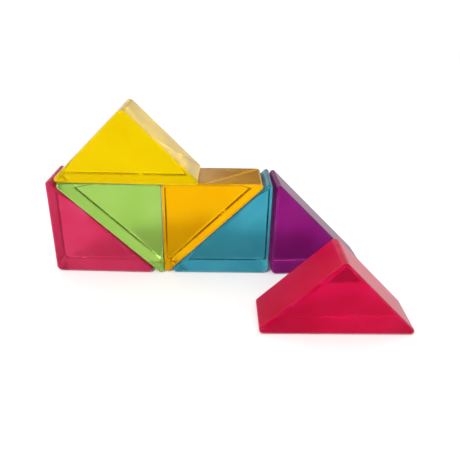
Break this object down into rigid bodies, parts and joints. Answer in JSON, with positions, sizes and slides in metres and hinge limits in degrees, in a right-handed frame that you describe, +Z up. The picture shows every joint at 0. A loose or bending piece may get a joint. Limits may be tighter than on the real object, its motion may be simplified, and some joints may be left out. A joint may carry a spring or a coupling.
{
  "type": "set of translucent triangular building blocks",
  "caption": "Loose clear-tinted right-triangle prism blocks for stacking, shown as a row of squares with a sloped end, a gable on top and one block in front.",
  "frame": {"origin": "on the ground, under the middle of the whole group's bounding box", "axes": "+X along the row towards the purple end block, +Y away from the viewer, +Z up"},
  "size_m": [0.1646, 0.0762, 0.0822],
  "materials": {
    "pink_resin": "polished, clear tinted",
    "green_resin": "polished, clear tinted",
    "orange_resin": "polished, clear tinted",
    "teal_resin": "polished, clear tinted",
    "purple_resin": "polished, clear tinted",
    "yellow_resin": "polished, clear tinted",
    "red_resin": "polished, clear tinted"
  },
  "bodies": {
    "teal": {"teal_block": "teal_resin"},
    "pink": {"pink_block": "pink_resin"},
    "green": {"green_block": "green_resin"},
    "orange": {"orange_block": "orange_resin"},
    "purple": {"purple_block": "purple_resin"},
    "yellow": {"yellow_block": "yellow_resin"},
    "red": {"red_block": "red_resin"}
  },
  "joints": [
    {"name": "pink_slide", "type": "slide", "parent": "teal", "child": "pink", "axis": [-1, 0, 0], "range_m": [0, 0.06]},
    {"name": "green_slide", "type": "slide", "parent": "teal", "child": "green", "axis": [0, -1, 0], "range_m": [0, 0.03]},
    {"name": "orange_slide", "type": "slide", "parent": "teal", "child": "orange", "axis": [0, 1, 0], "range_m": [0, 0.03]},
    {"name": "purple_slide", "type": "slide", "parent": "teal", "child": "purple", "axis": [1, 0, 0], "range_m": [0, 0.06]},
    {"name": "yellow_lift", "type": "slide", "parent": "teal", "child": "yellow", "axis": [0, 0, 1], "range_m": [0, 0.06]},
    {"name": "red_slide", "type": "slide", "parent": "teal", "child": "red", "axis": [0, -1, 0], "range_m": [0, 0.06]}
  ]
}
